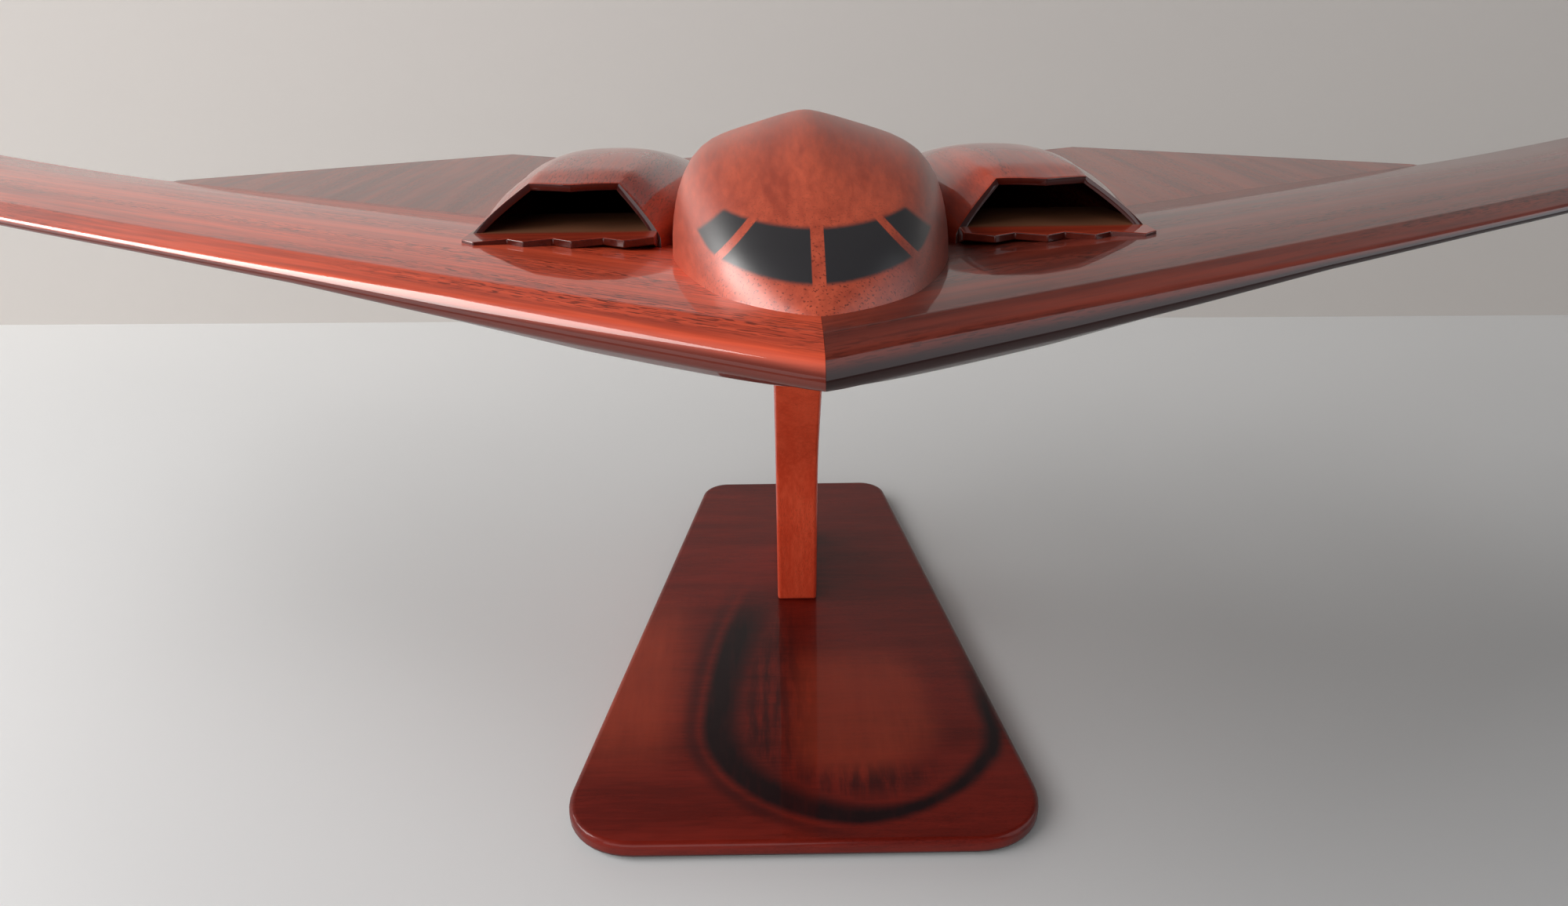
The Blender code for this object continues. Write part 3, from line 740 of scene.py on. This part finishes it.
class DESK_OT_peg_and_screws(bpy.types.Operator):
    """The turned steel peg and the plated screws"""
    bl_idname = "desk.peg_and_screws"
    bl_label = "Peg and screws"

    def execute(self, context):
        tints = context.scene.lacquer_colours
        for name, tint, nodes, rough in (
                ("turned_steel", tints.steel, ("stand_peg",), 0.28),
                ("zinc_plate", tints.zinc, ("base_screw_front", "base_screw_rear"), 0.36)):
            finish = Finish(name)
            rings = finish.turned(finish.place(), 0.0, (1.0, 1.0, 14.0))
            streak = finish.noise(rings, 500.0, 3.0, 0.6)
            finish.surface(Base_Color=finish.mix(streak, tuple(0.8 * c for c in tint), tuple(tint)),
                           Metallic=1.0, Roughness=streak * 0.18 + rough,
                           Normal=finish.bump(streak, 0.12, 0.0001))
            for node in nodes:
                frame["nodes"][node].data.materials.clear()
                frame["nodes"][node].data.materials.append(finish.material)
        return {'FINISHED'}


class DESK_OT_post(bpy.types.Operator):
    """The flat curved strut between the base and the belly"""
    bl_idname = "desk.post"
    bl_label = "Post"

    def execute(self, context):
        shape = Airframe(context.scene.airframe_sizes)
        sizes = context.scene.stand_sizes
        tints = context.scene.lacquer_colours
        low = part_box("stand_post")[0].z / MM - 0.25
        ahead = shape.at(0, 100, shape.belly - 0.15) / MM
        behind = shape.at(0, 124, shape.belly - 0.15) / MM
        front = [Vector(p) for p in (
            (9.8, low), (5.0, 27), (0.0, 47), (-15.0, 66.5), (-33.0, 86), (ahead.y, ahead.z))]
        back = [Vector(p) for p in (
            (44.0, low), (28.0, 26), (19.0, 48), (4.0, 71), (-16.0, 93), (behind.y, behind.z))]

        def curve(points, t):
            """A smooth run through the points, t from 0 to the last index."""
            i = min(int(t), len(points) - 2)
            p1, p2 = points[i], points[i + 1]
            p0 = points[i - 1] if i else 2 * p1 - p2
            p3 = points[i + 2] if i + 2 < len(points) else 2 * p2 - p1
            f = t - i
            return 0.5 * (2 * p1 + (p2 - p0) * f + (2 * p0 - 5 * p1 + 4 * p2 - p3) * f * f
                          + (3 * p1 - p0 - 3 * p2 + p3) * f ** 3)

        def spot(i, j, right):
            edge = curve(front, i / 12).lerp(curve(back, i / 12), j / 6)
            return Vector(((0.5 if right else -0.5) * sizes.post_width, edge.x * MM, edge.y * MM))

        bm = slab(60, 6, spot)
        wood = lacquered_wood(
            "post_lacquer", tints.post_light, tints.post_dark, Finish.place,
            lambda finish, coords: finish.stretched(coords, (1.0, 1.0, 0.05)), 0.25, shade=-0.9)
        piece = finished(bm, "post", "stand", "stand_post", wood, 35.0)
        soften(piece, sizes.post_round, 50.0, 4)
        return {'FINISHED'}


def tapered_plate(sizes, inset, bottom, top):
    """The base's plan as a plate, its corners rounded, in metres."""
    bm = bmesh.new()
    half = sizes.base_length / 2
    slope = (sizes.base_front - sizes.base_rear) / 2 / sizes.base_length
    lean = math.atan(slope)

    def corner(y, side):
        width = sizes.base_front / 2 - slope * (y + half) - inset / math.cos(lean)
        return bm.verts.new((side * width, y, bottom))

    front, rear = -half + inset, half - inset
    face = bm.faces.new([corner(front, -1), corner(front, 1), corner(rear, 1), corner(rear, -1)])
    for y, radius, turn in ((front, sizes.front_radius - inset, math.pi / 2 - lean),
                            (rear, sizes.rear_radius - inset, math.pi / 2 + lean)):
        ends = [v for v in bm.verts if abs(v.co.y - y) < 1e-5]
        bmesh.ops.bevel(bm, geom=ends, offset=radius / math.tan(turn / 2), offset_type='OFFSET',
                        affect='VERTICES', segments=12, profile=0.5, material=-1, clamp_overlap=False)
    made = bmesh.ops.extrude_face_region(bm, geom=bm.faces[:])
    for vert in (v for v in made['geom'] if isinstance(v, bmesh.types.BMVert)):
        vert.co.z = top
    return bm


class DESK_OT_base(bpy.types.Operator):
    """The tapered base plate with its dark heartwood figure"""
    bl_idname = "desk.base"
    bl_label = "Base"

    def execute(self, context):
        sizes = context.scene.stand_sizes
        tints = context.scene.lacquer_colours
        low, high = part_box("stand_base")
        bm = tapered_plate(sizes, 0.0, low.z, high.z)
        bmesh.ops.recalc_face_normals(bm, faces=bm.faces)

        def heartwood(finish, coords, wood):
            waver = finish.noise(coords, 38.0, 3.0, 0.6) - 0.5
            x, y, _ = finish.axes(coords)
            left = (x / MM).rise(24.0, -4.0)
            across = ((x / MM - 11.0) / 31.0 + waver * 0.08).size()
            ahead = y / MM + 39.0
            reach = (ahead.least(0.0) / -29.0).most(ahead / 80.0)
            ring = (across ** 1.85 + reach ** 1.85) ** 0.54 + waver * 0.10
            streak = finish.noise(finish.stretched(coords, (1.0, 0.14, 1.0)), 420.0, 3.0, 0.65)
            band = ring.rise(1.09, 1.0) * ring.rise(0.86 - 0.20 * left, 0.98 - 0.06 * left)
            echo = ring.rise(1.22, 1.13) * ring.rise(1.06, 1.12) * left * 0.5
            hollow = (x / MM).rise(12.0, -12.0).most((y / MM).rise(-48.0, -58.0))
            hollow = ring.rise(0.98, 0.60) * hollow * 0.75
            fade = (y / MM + 34.0 * left).rise(-4.0, -38.0).most((y / MM).rise(26.0, -6.0) * left)
            dark = band.most(echo).most(hollow * streak.rise(0.30, 0.62)) * (0.80 + 0.4 * streak)
            warm = (x / MM).rise(-22.0, -34.0) * (y / MM).rise(-62.0, -30.0) * (y / MM).rise(22.0, -12.0)
            core = ring.rise(0.72, 0.40) * (y / MM).rise(-6.0, -22.0) * (x / MM).rise(-6.0, 2.0) * 0.7
            glow = finish.mix((warm.most(core) * (0.35 + 0.6 * streak)).least(1.0), wood,
                              tuple(tints.base_glow))
            return finish.mix((dark * fade).least(1.0), glow, tuple(tints.heart))

        wood = lacquered_wood("base_lacquer", tints.base_light, tints.base_dark, Finish.place,
                              level_grain(0.0, 0.10), 0.25, None, heartwood, 0.28, 0.03, 0.8)
        piece = finished(bm, "base_plate", "stand", "stand_base", wood, 35.0)
        soften(piece, sizes.edge_round, 50.0, 5)
        return {'FINISHED'}


class DESK_OT_felt(bpy.types.Operator):
    """The felt pad below the base"""
    bl_idname = "desk.felt"
    bl_label = "Felt pad"

    def execute(self, context):
        tints = context.scene.lacquer_colours
        low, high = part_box("felt_pad")
        bm = tapered_plate(context.scene.stand_sizes, context.scene.stand_sizes.felt_inset, low.z,
                           high.z + 0.2 * MM)
        finish = Finish("green_felt")
        fuzz = finish.noise(finish.place(), 1400.0, 4.0, 0.7)
        nap = finish.mix(fuzz, tuple(0.5 * c for c in tints.felt), tuple(1.6 * c for c in tints.felt))
        finish.surface(Base_Color=nap, Roughness=0.95, Sheen_Weight=0.4,
                       Normal=finish.bump(fuzz, 0.8, 0.0004))
        finished(bm, "felt", "stand", "felt_pad", finish.material, 35.0)
        return {'FINISHED'}


class DESK_OT_stage(bpy.types.Operator):
    """Pale table, plain backdrop, soft light from the left and the camera"""
    bl_idname = "desk.stage"
    bl_label = "Stage"

    def plane(self, name, size, matrix, material):
        bm = bmesh.new()
        bmesh.ops.create_grid(bm, x_segments=1, y_segments=1, size=size / 2, matrix=matrix)
        mesh = bpy.data.meshes.new(name)
        bm.to_mesh(mesh)
        bm.free()
        mesh.materials.append(material)
        item = bpy.data.objects.new(name, mesh)
        bpy.context.scene.collection.objects.link(item)

    def lamp(self, name, spot, aim, size, power, tint, mirrored=True):
        data = bpy.data.lights.new(name, 'AREA')
        data.shape = 'RECTANGLE'
        data.size, data.size_y = size
        data.energy = power
        data.color = tint
        item = bpy.data.objects.new(name, data)
        item.location = spot
        item.visible_glossy = mirrored
        item.rotation_euler = (Vector(aim) - Vector(spot)).to_track_quat('-Z', 'Y').to_euler()
        bpy.context.scene.collection.objects.link(item)
        return item

    def execute(self, context):
        settings = context.scene.stage_settings
        table = Finish("pale_table")
        table.surface(Base_Color=tuple(settings.table), Roughness=0.55)
        self.plane("table_top", 6.0, Matrix.Translation((0, 0, 0)), table.material)
        wall = Finish("plain_wall")
        height = wall.axes(wall.place())[2]
        # Painted shade: the backdrop darkens above the model's height.
        shaded = wall.mix(height.rise(0.16, 0.30), tuple(settings.wall), tuple(settings.wall_top_shade))
        wall.surface(Base_Color=shaded, Roughness=0.8)
        behind = wall.node('ShaderNodeNewGeometry', out='Backfacing')
        clear = wall.node('ShaderNodeBsdfTransparent')
        shown = wall.node('ShaderNodeMixShader', None, {
            0: behind, 1: Wire(wall, wall.shader.outputs[0]), 2: clear})
        wall.tree.links.new(shown.socket, wall.tree.nodes['Material Output'].inputs['Surface'])
        upright = (Matrix.Translation((0.15, settings.backdrop_y, 0.6))
                   @ Matrix.Rotation(math.radians(-1.2), 4, 'Z') @ Matrix.Rotation(math.radians(90), 4, 'X'))
        self.plane("backdrop", 1.3, upright, wall.material)

        self.lamp("window", (-0.78, -0.28, 0.72), (0, 0.02, 0.08), (0.9, 0.7), 9.2, (0.97, 0.98, 1.0), False)
        self.lamp("low_window", (-0.98, 0.06, 0.24), (0, 0.0, 0.1), (1.5, 0.24), 1.4, (0.96, 0.98, 1.0))
        self.lamp("room", (-0.50, -1.15, 0.74), (0, 0, 0.1), (1.2, 0.9), 6.6, (0.97, 0.98, 1.0))
        # These two show in the lacquer only: the line along the leading edge and the far side's sheen.
        glint = self.lamp("glint", (-0.78, 0.14, 0.60), (0, 0.0, 0.1), (0.8, 0.42), 13.0, (1.0, 0.98, 0.95))
        fill = self.lamp("fill", (0.95, -0.10, 0.62), (0, 0.0, 0.1), (1.4, 1.1), 6.0, (0.93, 0.96, 1.0))
        glint.visible_diffuse = fill.visible_diffuse = False

        world = bpy.data.worlds.new("room")
        world.use_nodes = True
        world.node_tree.nodes['Background'].inputs[0].default_value = (0.62, 0.66, 0.72, 1.0)
        world.node_tree.nodes['Background'].inputs[1].default_value = 0.17
        context.scene.world = world
        context.scene.view_settings.view_transform = 'Standard'

        data = bpy.data.cameras.new("eye")
        data.sensor_width = 36.0
        data.lens = settings.lens
        data.clip_start, data.clip_end = 0.01, 20.0
        eye = bpy.data.objects.new("eye", data)
        eye.matrix_world = (Matrix.Translation(settings.eye) @ Matrix.Rotation(-settings.turn, 4, 'Z')
                            @ Matrix.Rotation(math.pi / 2 - settings.pitch, 4, 'X')
                            @ Matrix.Rotation(settings.roll, 4, 'Z'))
        context.scene.collection.objects.link(eye)
        context.scene.camera = eye
        return {'FINISHED'}


OPERATORS = (DESK_OT_wings, DESK_OT_rear_body, DESK_OT_hump, DESK_OT_nacelles, DESK_OT_lips,
             DESK_OT_peg_and_screws, DESK_OT_post, DESK_OT_base, DESK_OT_felt, DESK_OT_stage)
SETTINGS = {"airframe_sizes": AirframeSizes, "stand_sizes": StandSizes, "lacquer_colours": LacquerColours,
            "stage_settings": StageSettings}


class DESK_PT_panel(bpy.types.Panel):
    """Every piece of the desk model"""
    bl_idname = "DESK_PT_panel"
    bl_label = "Flying-wing desk model"
    bl_space_type = 'VIEW_3D'
    bl_region_type = 'UI'
    bl_category = "Desk model"

    def draw(self, context):
        for operator in OPERATORS:
            self.layout.operator(operator.bl_idname)
        for name, group in SETTINGS.items():
            box = self.layout.box()
            box.label(text=group.__doc__)
            for key in group.__annotations__:
                box.prop(getattr(context.scene, name), key)


CLASSES = (*SETTINGS.values(), *OPERATORS, DESK_PT_panel)


def register():
    for cls in CLASSES:
        bpy.utils.register_class(cls)
    for name, group in SETTINGS.items():
        setattr(bpy.types.Scene, name, PointerProperty(type=group))


def unregister():
    for name in SETTINGS:
        delattr(bpy.types.Scene, name)
    for cls in reversed(CLASSES):
        bpy.utils.unregister_class(cls)


def main():
    register()
    for operator in OPERATORS:
        getattr(bpy.ops.desk, operator.bl_idname.split(".")[1])()


if __name__ == "__main__":
    main()
